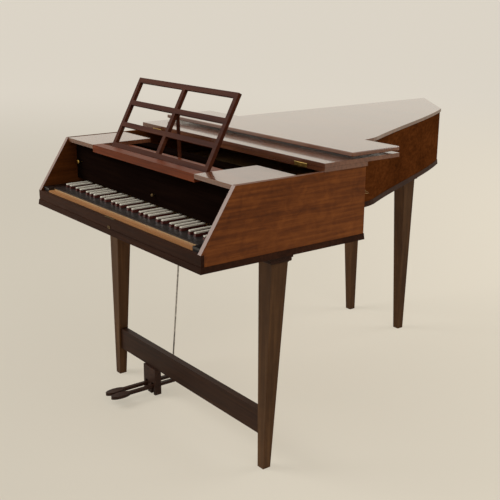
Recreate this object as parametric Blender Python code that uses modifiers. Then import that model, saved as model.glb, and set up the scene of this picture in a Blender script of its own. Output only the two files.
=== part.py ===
"""A wing-shaped keyboard instrument with plucked strings, on four tapered legs.

Metres, +Z up. The keyboard faces -Y, the long straight side is at -X and the bent side at +X.
Heights named ..._Z are over the underside of the case unless the name says floor.
"""
import math

import bmesh
import bpy
from mathutils import Matrix, Vector

MM = 0.001

# Clearances
GAP = 0.3 * MM
RUNNING = 1.0 * MM

# Case
CASE_FLOOR = 635.0 * MM
CASE_HEIGHT = 208.5 * MM
CASE_WIDTH = 922.5 * MM
SPINE_LENGTH = 1800.0 * MM
CHEEK_LENGTH = 550.0 * MM
WALL = 14.0 * MM
BOTTOM_THICK = 10.0 * MM
RAIL_THICK = 10.0 * MM
RAIL_HEIGHT = 47.5 * MM
SLOPE_RUN = 104.5 * MM
MOULDING_OUT = 3.5 * MM
MOULDING_HEIGHT = 16.8 * MM
MOULDING_SLOPE = 2.0 * MM

# Bent side in plan: a hollow from the cheek, then a long easy run to the tail
BEND_START_ANGLE = math.radians(25.7)
BEND_START_PULL = 351.0 * MM
BEND_JOIN = Vector((170.3 * MM, 877.0 * MM))
BEND_JOIN_ANGLE = math.radians(62.0)
BEND_JOIN_PULL = 81.0 * MM
RUN_START_PULL = 257.0 * MM
RUN_END_PULL = 245.0 * MM
RUN_END_ANGLE = math.radians(58.6)
TAIL_CORNER = Vector((-180.0 * MM, 1584.6 * MM))
BEND_STEPS = 10

# Keyboard
NATURALS = 36
OCTAVE_SPAN = 159.5 * MM
KEY_GAP = 0.6 * MM
KEY_FRONT = 29.0 * MM
HEAD_END = 60.0 * MM
SHARP_FRONT = 61.0 * MM
SHARP_END = 140.0 * MM
SHARP_WIDTH = 10.6 * MM
SHARP_GAP = 0.5 * MM
SHARP_DRAFT = 0.9 * MM
KEY_END = 380.0 * MM
KEY_BOTTOM_Z = 46.0 * MM
NATURAL_TOP_Z = 60.0 * MM
SHARP_TOP_Z = 71.9 * MM
SHARP_SINK = 2.0 * MM
BALANCE_Y = 225.0 * MM
FIRST_LOOSE = 17
LAST_LOOSE = 26

# Key frame
FRAME_ARM_X = 396.0 * MM
FRAME_ARM_WIDTH = 24.0 * MM
FRAME_ARM_HEIGHT = 14.0 * MM
FRONT_BAR = (32.0 * MM, 58.0 * MM)
FRONT_BAR_TOP_Z = 36.0 * MM
BALANCE_BAR_DEPTH = 22.0 * MM
BACK_BAR = (322.0 * MM, 344.0 * MM)
REST_HEIGHT_DROP = 0.4 * MM
FELT_WIDTH = 4.0 * MM
FELT_BITE = 0.6 * MM

# Fittings round the keys
SLIP_TOP_Z = 53.0 * MM
BLOCK_TOP_Z = 60.0 * MM
BLOCK_WIDTH = 37.0 * MM
NAMEBOARD_Y = 132.0 * MM
NAMEBOARD_THICK = 10.0 * MM
NAMEBOARD_FOOT_Z = 76.0 * MM
STOP_KNOB_X = 423.0 * MM
STOP_KNOB_Z = 131.0 * MM
STOP_KNOB_RADIUS = 7.0 * MM
STOP_STEM_RADIUS = 2.0 * MM
STOP_STEM_LENGTH = 30.0 * MM
STOP_KNOB_LENGTH = 12.0 * MM
STOP_TRAVEL = 10.0 * MM
BOARD_KNOB_X = 34.0 * MM
BOARD_KNOB_Z = 104.0 * MM
BOARD_KNOB_RADIUS = 5.0 * MM
BOARD_KNOB_LENGTH = 11.0 * MM
LOCK_SIZE = Vector((53.0 * MM, 8.0 * MM, 1.0 * MM))
KEYHOLE_Z = 21.4 * MM
KEYHOLE_PLATE = Vector((14.0 * MM, 1.0 * MM, 8.0 * MM))

# Deck over the keys
DECK_THICK = 12.5 * MM
SIDE_BLOCK_X = 280.0 * MM
SIDE_BLOCK_END = 312.0 * MM
BATTEN_DEPTH = 34.0 * MM
TRAY_SINK = 12.3 * MM
TRAY_FLOOR_THICK = 10.0 * MM
TRAY_END = 263.0 * MM
TRAY_FALL = 0.30

# Music desk
DESK_FOOT_Y = 164.0 * MM
DESK_FOOT_Z = 202.5 * MM
DESK_LEAN = math.radians(28.1)
DESK_HALF_WIDTH = 258.0 * MM
DESK_REACH = 228.0 * MM
DESK_TAIL = 3.0 * MM
DESK_THICK = 11.0 * MM
DESK_BAR = 15.0 * MM
DESK_BAR_HEIGHTS = (66.0 * MM, 138.0 * MM)
STRUT_PIVOT = 138.0 * MM
STRUT_WIDTH = 9.0 * MM
STRUT_THICK = 7.0 * MM
STRUT_SLANT = math.radians(2.1)
STRUT_PIN_RADIUS = 1.2 * MM
STRUT_EYE_CLEAR = 0.3 * MM
STRUT_SEAT = 0.5 * MM
LUG_THICK = 3.0 * MM
LUG_LENGTH = 8.0 * MM

# Lid and flaps
LID_THICK = 11.6 * MM
LID_FRONT = 394.7 * MM
LID_OVERHANG = 3.8 * MM
FLAP_LENGTH = 280.3 * MM
SLOPE_FLAP_LENGTH = 181.6 * MM
FLAP_RISE = 6.9 * MM
FLAP_HINGE_X = 368.0 * MM
FLAP_HINGE_WIDTH = 52.0 * MM
LEAF_THICK = 1.2 * MM
LEAF_HEIGHT = 9.0 * MM
KNUCKLE_RADIUS = 1.6 * MM
LID_KNUCKLE_RADIUS = 2.6 * MM
LID_HINGE_SPAN = (450.0 * MM, 1700.0 * MM)
LID_HINGE_LEAF = 16.0 * MM

# Inside
PLANK_SPAN = (146.0 * MM, 330.0 * MM)
PLANK_BOTTOM_Z = 80.0 * MM
PLANK_TOP_Z = 118.0 * MM
NUT_Y = 300.0 * MM
NUT_SIZE = Vector((820.0 * MM, 9.0 * MM, 11.0 * MM))
PIN_RADIUS = 2.4 * MM
PIN_HEIGHT = 24.0 * MM
PIN_ROW_Y = 190.0 * MM
PIN_STAGGER = 16.0 * MM
NOTES = 61
SLIDE_SPAN = (340.0 * MM, 376.0 * MM)
SLIDE_Z = (100.0 * MM, 112.0 * MM)
SLIDE_HALF_WIDTH = 436.0 * MM
JACK_SIZE = Vector((4.0 * MM, 13.0 * MM, 90.0 * MM))
JACK_FOOT_Z = 68.0 * MM
JACK_RAIL_SPAN = (334.0 * MM, 382.0 * MM)
JACK_RAIL_Z = (162.0 * MM, 172.0 * MM)
BELLY_Y = 394.0 * MM
BELLY_THICK = 14.0 * MM
SOUNDBOARD_Z = 108.0 * MM
SOUNDBOARD_THICK = 3.0 * MM
BRIDGE_INSET = 110.0 * MM
BRIDGE_WIDTH = 12.0 * MM
BRIDGE_HEIGHT = 12.0 * MM

# Stand
FRONT_LEG = (413.0 * MM, 266.5 * MM)
REAR_LEG_Y = 1343.6 * MM
REAR_LEG_XS = (-413.0 * MM, -126.6 * MM)
FRONT_LEG_TOP = 55.8 * MM
REAR_LEG_TOP = 53.9 * MM
LEG_FOOT = 25.7 * MM
FOOT_TOE_FRONT = -20.0 * MM
FOOT_TOE_REAR = 14.5 * MM
FOOT_TOE_IN = 5.0 * MM
LEG_HEAD = 25.0 * MM
LEG_PLATE_THICK = 8.0 * MM
LEG_PLATE_OVER = 4.0 * MM
COLLAR_OVER = 1.5 * MM
BLEND = 0.5 * MM
STRETCHER_Y = (241.6 * MM, 263.2 * MM)
STRETCHER_FLOOR = (97.0 * MM, 170.0 * MM)

# Pedals
PEDAL_XS = (-215.0 * MM, -179.0 * MM)
PEDAL_BLOCK_X = (-233.0 * MM, -161.0 * MM)
PEDAL_BLOCK_Y = (235.0 * MM, 258.5 * MM)
PEDAL_BLOCK_FLOOR = 5.0 * MM
PEDAL_SLOT_TOP = 46.0 * MM
PEDAL_AXLE_Y = 247.0 * MM
PEDAL_AXLE_FLOOR = 33.0 * MM
PEDAL_AXLE_RADIUS = 2.5 * MM
PEDAL_THICK = 10.0 * MM
PEDAL_LEVER_WIDTH = 12.0 * MM
PEDAL_LOBE_WIDTH = 30.0 * MM
PEDAL_TIP = 80.0 * MM
PEDAL_LOBE_LENGTH = 70.0 * MM
PEDAL_TAILS = (344.0 * MM, 321.0 * MM)
ROD_RADIUS = 2.2 * MM
ROD_FOOT_YS = (336.0 * MM, 313.0 * MM)
ROD_LEAN = 50.0 / 595.0
ROD_INSIDE = 20.0 * MM
ROD_HOLE_CLEAR = 3.0 * MM
ROD_SEAT = 0.5 * MM

PARTS = None
CUTTERS = None


# Scene and helpers

def start_scene():
    """Empties the scene and makes one collection for the parts and one for the cutters."""
    global PARTS, CUTTERS
    for old in list(bpy.data.objects):
        bpy.data.objects.remove(old, do_unlink=True)
    PARTS = bpy.data.collections.new("harpsichord")
    CUTTERS = bpy.data.collections.new("cutters")
    bpy.context.scene.collection.children.link(PARTS)
    bpy.context.scene.collection.children.link(CUTTERS)


def principled(name, colour, roughness, metallic=0.0):
    """A plain Principled material; colour is linear red, green and blue."""
    made = bpy.data.materials.get(name)
    if made is None:
        made = bpy.data.materials.new(name)
        made.use_nodes = True
        shader = made.node_tree.nodes["Principled BSDF"]
        shader.inputs["Base Color"].default_value = (*colour, 1.0)
        shader.inputs["Roughness"].default_value = roughness
        shader.inputs["Metallic"].default_value = metallic
    return made


def mahogany():
    return principled("polished_mahogany", (0.20, 0.065, 0.022), 0.30)


def dark_mahogany():
    return principled("dark_mahogany", (0.075, 0.024, 0.012), 0.35)


def lid_mahogany():
    return principled("lid_mahogany", (0.26, 0.11, 0.05), 0.22)


def brass():
    return principled("brass", (0.70, 0.50, 0.20), 0.30, 1.0)


def steel():
    return principled("steel", (0.35, 0.35, 0.36), 0.35, 1.0)


def ebony():
    return principled("ebony", (0.014, 0.012, 0.011), 0.35)


def bone():
    return principled("bone", (0.78, 0.74, 0.64), 0.40)


def pine():
    return principled("pine", (0.52, 0.36, 0.18), 0.60)


def to_object(name, bm, material, collection=None):
    mesh = bpy.data.meshes.new(name)
    bmesh.ops.recalc_face_normals(bm, faces=bm.faces)
    bm.to_mesh(mesh)
    bm.free()
    made = bpy.data.objects.new(name, mesh)
    (collection or PARTS).objects.link(made)
    if material is not None:
        mesh.materials.append(material)
    if collection is CUTTERS:
        made.hide_render = True
        made.display_type = "WIRE"
    return made


def box(name, low, high, material=None, collection=None):
    """A box between two corners."""
    low = Vector(low)
    high = Vector(high)
    bm = bmesh.new()
    place = Matrix.Translation((low + high) / 2) @ Matrix.Diagonal((*(high - low), 1.0))
    bmesh.ops.create_cube(bm, size=1.0, matrix=place)
    return to_object(name, bm, material, collection)


def rod(name, start, end, radius, sides, material=None, collection=None):
    """A round bar from start to end."""
    start = Vector(start)
    end = Vector(end)
    along = end - start
    turn = along.to_track_quat("Z", "Y").to_matrix().to_4x4()
    bm = bmesh.new()
    bmesh.ops.create_cone(
        bm, cap_ends=True, segments=sides, radius1=radius, radius2=radius, depth=along.length,
        matrix=Matrix.Translation((start + end) / 2) @ turn)
    return to_object(name, bm, material, collection)


def plate(name, outlines, thick, frame, material=None, collection=None):
    """A flat plate: closed outlines filled as a 2D curve, given a thickness and set in a frame."""
    curve = bpy.data.curves.new(name + "_outline", "CURVE")
    curve.dimensions = "2D"
    curve.fill_mode = "BOTH"
    curve.extrude = thick / 2
    for outline in outlines:
        spline = curve.splines.new("POLY")
        spline.points.add(len(outline) - 1)
        for point, (u, v) in zip(spline.points, outline):
            point.co = (u, v, 0.0, 1.0)
        spline.use_cyclic_u = True
    holder = bpy.data.objects.new(name + "_outline", curve)
    bpy.context.scene.collection.objects.link(holder)
    bpy.context.view_layer.update()
    flat = bpy.data.meshes.new_from_object(holder.evaluated_get(bpy.context.evaluated_depsgraph_get()))
    bpy.data.objects.remove(holder, do_unlink=True)
    bm = bmesh.new()
    bm.from_mesh(flat)
    bmesh.ops.remove_doubles(bm, verts=bm.verts, dist=0.01 * MM)
    bmesh.ops.transform(bm, matrix=frame, verts=bm.verts)
    return to_object(name, bm, material, collection)


def in_plan(z_low, z_high):
    """Frame for an outline in X and Y."""
    return Matrix.Translation((0, 0, (z_low + z_high) / 2))


def in_side(x_low, x_high):
    """Frame for an outline in Y and Z."""
    turn = Matrix(((0, 0, 1, 0), (1, 0, 0, 0), (0, 1, 0, 0), (0, 0, 0, 1)))
    return Matrix.Translation(((x_low + x_high) / 2, 0, 0)) @ turn


def in_front(y_low, y_high):
    """Frame for an outline in X and Z."""
    turn = Matrix(((1, 0, 0, 0), (0, 0, -1, 0), (0, 1, 0, 0), (0, 0, 0, 1)))
    return Matrix.Translation((0, (y_low + y_high) / 2, 0)) @ turn


def join(target, tool, operation="UNION"):
    """Unites or cuts with an object that moves to the cutters."""
    for place in list(tool.users_collection):
        place.objects.unlink(tool)
    CUTTERS.objects.link(tool)
    tool.hide_render = True
    tool.display_type = "WIRE"
    step = target.modifiers.new(tool.name, "BOOLEAN")
    step.operation = operation
    step.solver = "EXACT"
    step.object = tool
    return target


def join_all(target, tools):
    """Unites with many objects that don't touch each other."""
    group = bpy.data.collections.new(target.name + "_group")
    CUTTERS.children.link(group)
    for tool in tools:
        for place in list(tool.users_collection):
            place.objects.unlink(tool)
        group.objects.link(tool)
        tool.hide_render = True
        tool.display_type = "WIRE"
    step = target.modifiers.new("group", "BOOLEAN")
    step.operation = "UNION"
    step.solver = "EXACT"
    step.operand_type = "COLLECTION"
    step.collection = group
    return target


def origin_at(made, point):
    """Moves an object's origin to a point and leaves its shape where it is."""
    point = Vector(point)
    made.data.transform(Matrix.Translation(-point))
    made.location = point
    return made


def height(over_case_floor):
    return CASE_FLOOR + over_case_floor


# The case in plan

def cubic(start, pull_start, pull_end, end, steps):
    """Points on a cubic curve, without its first one."""
    found = []
    for step in range(1, steps + 1):
        t = step / steps
        s = 1 - t
        found.append(start * s ** 3 + pull_start * (3 * s * s * t) + pull_end * (3 * s * t * t) + end * t ** 3)
    return found


def heading(angle):
    """A direction that runs back and to the left."""
    return Vector((-math.cos(angle), math.sin(angle)))


def case_corners():
    """The case's outside in plan, counter-clockwise from the front left."""
    half = CASE_WIDTH / 2
    start = Vector((half, CHEEK_LENGTH))
    hollow = cubic(
        start, start + heading(BEND_START_ANGLE) * BEND_START_PULL,
        BEND_JOIN - heading(BEND_JOIN_ANGLE) * BEND_JOIN_PULL, BEND_JOIN, BEND_STEPS)
    run = cubic(
        BEND_JOIN, BEND_JOIN + heading(BEND_JOIN_ANGLE) * RUN_START_PULL,
        TAIL_CORNER - heading(RUN_END_ANGLE) * RUN_END_PULL, TAIL_CORNER, BEND_STEPS)
    return [Vector((-half, 0)), Vector((half, 0)), start, *hollow, *run, Vector((-half, SPINE_LENGTH))]


def inset(corners, amounts):
    """Moves each side of a closed outline inwards by its own amount, with mitred corners."""
    count = len(corners)
    normals = []
    for index in range(count):
        side = corners[(index + 1) % count] - corners[index]
        normals.append(Vector((-side.y, side.x)).normalized())
    moved = []
    for index in range(count):
        before = normals[index - 1]
        after = normals[index]
        first = amounts[index - 1]
        second = amounts[index]
        turn = before.x * after.y - before.y * after.x
        if abs(turn) < 0.02:
            moved.append(corners[index] + (before + after).normalized() * (first + second) / 2)
            continue
        shift = Vector(((first * after.y - second * before.y) / turn, (second * before.x - first * after.x) / turn))
        moved.append(corners[index] + shift)
    return moved


def inside(amount, front=None):
    """The case's outline moved inwards; front is the Y of its front side."""
    corners = case_corners()
    amounts = [amount] * len(corners)
    if front is not None:
        amounts[0] = front
    return inset(corners, amounts)


def bent_wall(outer, inner):
    """The outline of the wall between two case outlines, from the cheek to the tail corner."""
    first = 2
    last = len(outer) - 1
    return outer[first:last] + inner[first:last][::-1]


# Case pieces

def bottom_board():
    outline = inside(WALL + GAP, RAIL_THICK + GAP)
    made = plate("bottom_board", [outline], BOTTOM_THICK, in_plan(height(0), height(BOTTOM_THICK)), pine())
    for index, x in enumerate(PEDAL_XS):
        y = rod_y(index, height(BOTTOM_THICK / 2))
        hole = rod(
            "rod_hole_%d" % index, (x, y, height(-WALL)), (x, y, height(BOTTOM_THICK + WALL)),
            ROD_RADIUS + ROD_HOLE_CLEAR, 16, None, CUTTERS)
        join(made, hole, "DIFFERENCE")
    return made


def base_moulding():
    outer = inside(-MOULDING_OUT)
    upper = inside(-(MOULDING_OUT - MOULDING_SLOPE))
    ring = [outer, inside(-GAP)]
    made = plate("base_moulding", ring, MOULDING_HEIGHT, in_plan(height(0), height(MOULDING_HEIGHT)), dark_mahogany())
    for vertex in made.data.vertices:
        if vertex.co.z < height(MOULDING_HEIGHT / 2):
            continue
        for before, after in zip(outer, upper):
            if (vertex.co.xy - before).length < GAP / 4:
                vertex.co.xy = after
    return made


def side_profile(rear):
    """A cheek's or the spine's outline in Y and Z, sloped over the keys."""
    step = height(RAIL_HEIGHT + GAP)
    top = height(CASE_HEIGHT)
    foot = RAIL_THICK + GAP
    return [(foot, height(0)), (rear, height(0)), (rear, top), (SLOPE_RUN, top), (0.0, step), (foot, step)]


def side_wall(name, x_outer, x_inner, rear_outer, rear_inner, material):
    """A long side whose rear end is mitred in plan."""
    low = min(x_outer, x_inner)
    high = max(x_outer, x_inner)
    made = plate(name, [side_profile(rear_outer)], high - low, in_side(low, high), material)
    for vertex in made.data.vertices:
        if vertex.co.y > rear_outer - GAP / 2 and abs(vertex.co.x - x_inner) < GAP:
            vertex.co.y = rear_inner
    return made


def walls():
    outer = case_corners()
    inner = inside(WALL)
    half = CASE_WIDTH / 2
    tail_way = (outer[-1] - outer[-2]).normalized()
    side_wall("cheek", half, half - WALL, outer[2].y - GAP, inner[2].y - GAP, mahogany())
    side_wall("spine", -half, -half + WALL, outer[-1].y - 2 * GAP, inner[-1].y - 2 * GAP, mahogany())
    frame = in_plan(height(0), height(CASE_HEIGHT))
    plate("bentside", [bent_wall(outer, inner)], CASE_HEIGHT, frame, mahogany())
    tail = [outer[-2] + tail_way * GAP * 1.5, outer[-1], inner[-1], inner[-2] + tail_way * GAP * 1.5]
    plate("tail", [tail], CASE_HEIGHT, frame, mahogany())


def front_rail():
    half = CASE_WIDTH / 2
    made = box("front_rail", (-half, 0, height(0)), (half, RAIL_THICK, height(RAIL_HEIGHT)), dark_mahogany())
    hole = rod(
        "keyhole", (0, -WALL, height(KEYHOLE_Z)), (0, RAIL_THICK / 2, height(KEYHOLE_Z)), 2.0 * MM, 12, None, CUTTERS)
    return join(made, hole, "DIFFERENCE")


def lock_fittings():
    size = LOCK_SIZE
    box(
        "lock_plate", (-size.x / 2, GAP, height(RAIL_HEIGHT + GAP)),
        (size.x / 2, GAP + size.y, height(RAIL_HEIGHT + GAP) + size.z), brass())
    size = KEYHOLE_PLATE
    plate_made = box(
        "escutcheon", (-size.x / 2, -GAP - size.y, height(KEYHOLE_Z) - size.z / 2),
        (size.x / 2, -GAP, height(KEYHOLE_Z) + size.z / 2), brass())
    hole = rod(
        "plate_hole", (0, -WALL, height(KEYHOLE_Z)), (0, WALL, height(KEYHOLE_Z)), 2.0 * MM, 12, None, CUTTERS)
    join(plate_made, hole, "DIFFERENCE")


def key_surround():
    """Key slip, the two blocks beside the keys and the nameboard over them."""
    inner = CASE_WIDTH / 2 - WALL - GAP
    back = NAMEBOARD_Y - GAP
    front = RAIL_THICK + GAP
    bed = height(BOTTOM_THICK + GAP)
    block_x = inner - BLOCK_WIDTH
    box("key_slip", (-block_x + GAP, front, bed), (block_x - GAP, KEY_FRONT - RUNNING, height(SLIP_TOP_Z)), pine())
    for name, side in (("key_block_left", -1), ("key_block_right", 1)):
        ends = sorted((side * inner, side * block_x))
        box(name, (ends[0], front, bed), (ends[1], back, height(BLOCK_TOP_Z)), ebony())
    top = height(CASE_HEIGHT - DECK_THICK - GAP)
    board = box(
        "nameboard", (-inner, NAMEBOARD_Y, height(NAMEBOARD_FOOT_Z)), (inner, NAMEBOARD_Y + NAMEBOARD_THICK, top),
        dark_mahogany())
    clear = STOP_STEM_RADIUS + GAP
    slot = box(
        "stop_slot", (-STOP_KNOB_X - clear, 0, height(STOP_KNOB_Z) - clear),
        (-STOP_KNOB_X + STOP_TRAVEL + clear, PLANK_SPAN[0], height(STOP_KNOB_Z) + clear), None, CUTTERS)
    join(board, slot, "DIFFERENCE")


def turned_knob(name, x, z, radius, length, stem_radius, stem_length, material):
    """A knob turned about Y that stands out of the nameboard: a Screw of its half profile."""
    face = NAMEBOARD_Y - GAP
    neck = stem_radius
    profile = [
        (0.0, length), (radius * 0.7, length * 0.94), (radius, length * 0.7), (radius * 0.85, length * 0.45),
        (neck * 1.3, length * 0.2), (neck * 1.3, 0.0), (neck, 0.0), (neck, -stem_length), (0.0, -stem_length)]
    mesh = bpy.data.meshes.new(name)
    mesh.from_pydata([(r, 0.0, h) for r, h in profile], [(i, i + 1) for i in range(len(profile) - 1)], [])
    made = bpy.data.objects.new(name, mesh)
    PARTS.objects.link(made)
    turn = made.modifiers.new("turn", "SCREW")
    turn.steps = 14
    turn.render_steps = 14
    turn.use_merge_vertices = True
    turn.merge_threshold = 0.01 * MM
    made.data.materials.append(material)
    made.rotation_euler = (math.radians(90), 0, 0)
    made.location = (x, face, z)
    return made


def knobs():
    turned_knob(
        "hand_stop", -STOP_KNOB_X, height(STOP_KNOB_Z), STOP_KNOB_RADIUS, STOP_KNOB_LENGTH, STOP_STEM_RADIUS,
        STOP_STEM_LENGTH - STOP_KNOB_LENGTH - MM, brass())
    turned_knob(
        "nameboard_knob", BOARD_KNOB_X, height(BOARD_KNOB_Z), BOARD_KNOB_RADIUS, BOARD_KNOB_LENGTH, 2.0 * MM,
        GAP / 3, brass())


def deck():
    """The two flush side blocks and, between them, the batten with the sunk tray of the music desk."""
    top = height(CASE_HEIGHT)
    low = height(CASE_HEIGHT - DECK_THICK)
    inner = CASE_WIDTH / 2 - WALL - GAP
    for name, side in (("deck_block_left", -1), ("deck_block_right", 1)):
        ends = sorted((side * inner, side * SIDE_BLOCK_X))
        box(name, (ends[0], SLOPE_RUN, low), (ends[1], SIDE_BLOCK_END, top), mahogany())
    step = SLOPE_RUN + BATTEN_DEPTH
    floor = top - TRAY_SINK
    ramp = strut_foot().x - STRUT_THICK
    fall = floor - (TRAY_END - ramp) * TRAY_FALL
    under = floor - TRAY_FLOOR_THICK
    profile = [
        (SLOPE_RUN, under), (TRAY_END, under), (TRAY_END, fall), (ramp, floor), (step, floor), (step, top),
        (SLOPE_RUN, top)]
    half = SIDE_BLOCK_X - GAP
    made = plate("desk_tray", [profile], 2 * half, in_side(-half, half), mahogany())
    # A rebate under the tray's batten lets the nameboard stand at its full height
    rebate = box(
        "board_rebate", (-CASE_WIDTH, NAMEBOARD_Y - GAP, under - MM),
        (CASE_WIDTH, NAMEBOARD_Y + NAMEBOARD_THICK + GAP, height(CASE_HEIGHT - DECK_THICK)), None, CUTTERS)
    return join(made, rebate, "DIFFERENCE")


# Music desk

def desk_frame():
    """Frame with X to the right, Y up the desk and Z out of its back, from the foot's axis."""
    up = Vector((0, math.sin(DESK_LEAN), math.cos(DESK_LEAN)))
    back = Vector((0, math.cos(DESK_LEAN), -math.sin(DESK_LEAN)))
    right = Vector((1, 0, 0))
    turn = Matrix((
        (right.x, up.x, -back.x, 0), (right.y, up.y, -back.y, 0), (right.z, up.z, -back.z, 0), (0, 0, 0, 1)))
    return Matrix.Translation((0, DESK_FOOT_Y, height(DESK_FOOT_Z))) @ turn


def strut_pivot():
    """The strut's hinge line, in the world."""
    behind = DESK_THICK / 2 + GAP + STRUT_THICK / 2
    return desk_frame() @ Vector((0, STRUT_PIVOT, -behind))


def strut_foot():
    """Where the strut's end stands, as Y and Z."""
    top = strut_pivot()
    drop = top.z - (height(CASE_HEIGHT) - TRAY_SINK) - STRUT_SEAT
    return Vector((top.y + drop * math.tan(STRUT_SLANT), top.z - drop))


def music_desk():
    low = -DESK_TAIL
    half = DESK_HALF_WIDTH
    outlines = [[(-half, low), (half, low), (half, DESK_REACH), (-half, DESK_REACH)]]
    rows = [low, *DESK_BAR_HEIGHTS, DESK_REACH - DESK_BAR]
    for lower, upper in zip(rows[:-1], rows[1:]):
        for side in (-1, 1):
            ends = sorted((side * DESK_BAR / 2, side * (half - DESK_BAR)))
            bottom = lower + DESK_BAR
            outlines.append([(ends[0], bottom), (ends[1], bottom), (ends[1], upper), (ends[0], upper)])
    made = plate("music_desk", outlines, DESK_THICK, desk_frame(), dark_mahogany())
    behind = DESK_THICK / 2 + GAP + STRUT_THICK / 2
    inner = STRUT_WIDTH / 2 + GAP
    for index, side in enumerate((-1, 1)):
        ends = sorted((side * inner, side * (inner + LUG_THICK)))
        lug = box(
            "lug_%d" % index, (ends[0], STRUT_PIVOT - LUG_LENGTH / 2, -behind - STRUT_THICK / 2),
            (ends[1], STRUT_PIVOT + LUG_LENGTH / 2, -DESK_THICK / 2 + MM), None, CUTTERS)
        lug.data.transform(desk_frame())
        join(made, lug)
    reach = inner + LUG_THICK / 2
    pivot = strut_pivot()
    pin = rod(
        "strut_pin", (-reach, pivot.y, pivot.z), (reach, pivot.y, pivot.z), STRUT_PIN_RADIUS, 12, None, CUTTERS)
    join(made, pin)
    return origin_at(made, (0, DESK_FOOT_Y, height(DESK_FOOT_Z)))


def desk_strut():
    """The prop: a bar with a round eye at its top, in Y and Z."""
    top = strut_pivot()
    foot = strut_foot()
    way = Vector((foot.x - top.y, foot.y - top.z))
    length = way.length
    half = STRUT_THICK / 2
    outline = [(-half, -length), (half, -length)]
    for step in range(9):
        angle = math.pi * step / 8
        outline.append((half * math.cos(angle), half * math.sin(angle)))
    lean = Matrix.Rotation(math.atan2(way.x, -way.y), 4, "Z")
    frame = in_side(-STRUT_WIDTH / 2, STRUT_WIDTH / 2)
    place = Matrix.Translation((0, top.y, top.z)) @ frame @ lean
    made = plate("desk_strut", [outline], STRUT_WIDTH, place, dark_mahogany())
    eye = rod(
        "strut_eye", (-STRUT_WIDTH, top.y, top.z), (STRUT_WIDTH, top.y, top.z),
        STRUT_PIN_RADIUS + STRUT_EYE_CLEAR, 16, None, CUTTERS)
    join(made, eye, "DIFFERENCE")
    return origin_at(made, (0, top.y, top.z))


# Lid and flaps

def lid_bottom():
    return height(CASE_HEIGHT + GAP)


def flap_axis():
    """The front flap's hinge line, as Y and Z."""
    leaf = LID_FRONT - GAP - LEAF_THICK
    return Vector((leaf + LEAF_THICK / 2 - KNUCKLE_RADIUS / 2, lid_bottom() + LID_THICK + GAP / 2))


def lid_axis():
    """The lid's hinge line, as X and Z."""
    return Vector((-CASE_WIDTH / 2 - LID_OVERHANG - GAP - LID_KNUCKLE_RADIUS, lid_bottom()))


def main_lid():
    corners = case_corners()
    amounts = [-LID_OVERHANG] * len(corners)
    amounts[0] = LID_FRONT
    outline = inset(corners, amounts)
    made = plate("main_lid", [outline], LID_THICK, in_plan(lid_bottom(), lid_bottom() + LID_THICK), lid_mahogany())
    axis = lid_axis()
    return origin_at(made, (axis.x, LID_FRONT, axis.y))


def flaps():
    """The front flap lies folded back on the lid, and the slope flap forward on that one."""
    half = CASE_WIDTH / 2 + LID_OVERHANG - GAP
    low = lid_bottom() + LID_THICK + GAP
    top = low + LID_THICK
    end = LID_FRONT + FLAP_LENGTH
    front = box("front_flap", (-half, LID_FRONT, low), (half, end, top), lid_mahogany())
    axis = flap_axis()
    leaf_foot = axis.y + KNUCKLE_RADIUS + GAP
    for index, side in enumerate((-1, 1)):
        ends = sorted((side * (FLAP_HINGE_X - FLAP_HINGE_WIDTH / 2), side * (FLAP_HINGE_X + FLAP_HINGE_WIDTH / 2)))
        leaf = box(
            "flap_leaf_%d" % index, (ends[0], LID_FRONT - LEAF_THICK, leaf_foot),
            (ends[1], LID_FRONT + LEAF_THICK, leaf_foot + LEAF_HEIGHT), None, CUTTERS)
        join(front, leaf)
    origin_at(front, (0, axis.x, axis.y))
    upper = top + FLAP_RISE
    slope = box("slope_flap", (-half, end - SLOPE_FLAP_LENGTH, upper), (half, end, upper + LID_THICK), lid_mahogany())
    nose = slope.modifiers.new("moulded_edges", "BEVEL")
    nose.width = 2.0 * MM
    nose.segments = 1
    nose.limit_method = "ANGLE"
    origin_at(slope, (0, end + GAP / 2, top + FLAP_RISE / 2))


def flap_hinges():
    """The leaves on the lid's front edge, each with its knuckle."""
    axis = flap_axis()
    face = LID_FRONT - GAP
    for name, side in (("flap_hinge_left", -1), ("flap_hinge_right", 1)):
        ends = sorted((side * (FLAP_HINGE_X - FLAP_HINGE_WIDTH / 2), side * (FLAP_HINGE_X + FLAP_HINGE_WIDTH / 2)))
        top = axis.y - KNUCKLE_RADIUS + 0.4 * MM
        made = box(name, (ends[0], face - LEAF_THICK, top - LEAF_HEIGHT), (ends[1], face, top), brass())
        knuckle = rod(
            name + "_knuckle", (ends[0], axis.x, axis.y), (ends[1], axis.x, axis.y), KNUCKLE_RADIUS, 12, None, CUTTERS)
        join(made, knuckle)


def lid_hinge():
    """A long leaf on the spine, cranked out to a knuckle beside the lid's edge."""
    axis = lid_axis()
    wall = -CASE_WIDTH / 2 - GAP
    shelf = axis.y - LID_KNUCKLE_RADIUS
    profile = [
        (wall, shelf - LID_HINGE_LEAF), (wall, shelf + 0.4 * MM), (axis.x, shelf + 0.4 * MM), (axis.x, shelf - MM),
        (wall - LEAF_THICK, shelf - MM), (wall - LEAF_THICK, shelf - LID_HINGE_LEAF)]
    low, high = LID_HINGE_SPAN
    made = plate("lid_hinge", [profile], high - low, in_front(low, high), brass())
    knuckle = rod(
        "lid_knuckle", (axis.x, low, axis.y), (axis.x, high, axis.y), LID_KNUCKLE_RADIUS, 12, None, CUTTERS)
    return join(made, knuckle)


# Keys

def natural_pitch():
    return OCTAVE_SPAN / 7


def key_start():
    return -NATURALS * natural_pitch() / 2


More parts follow.
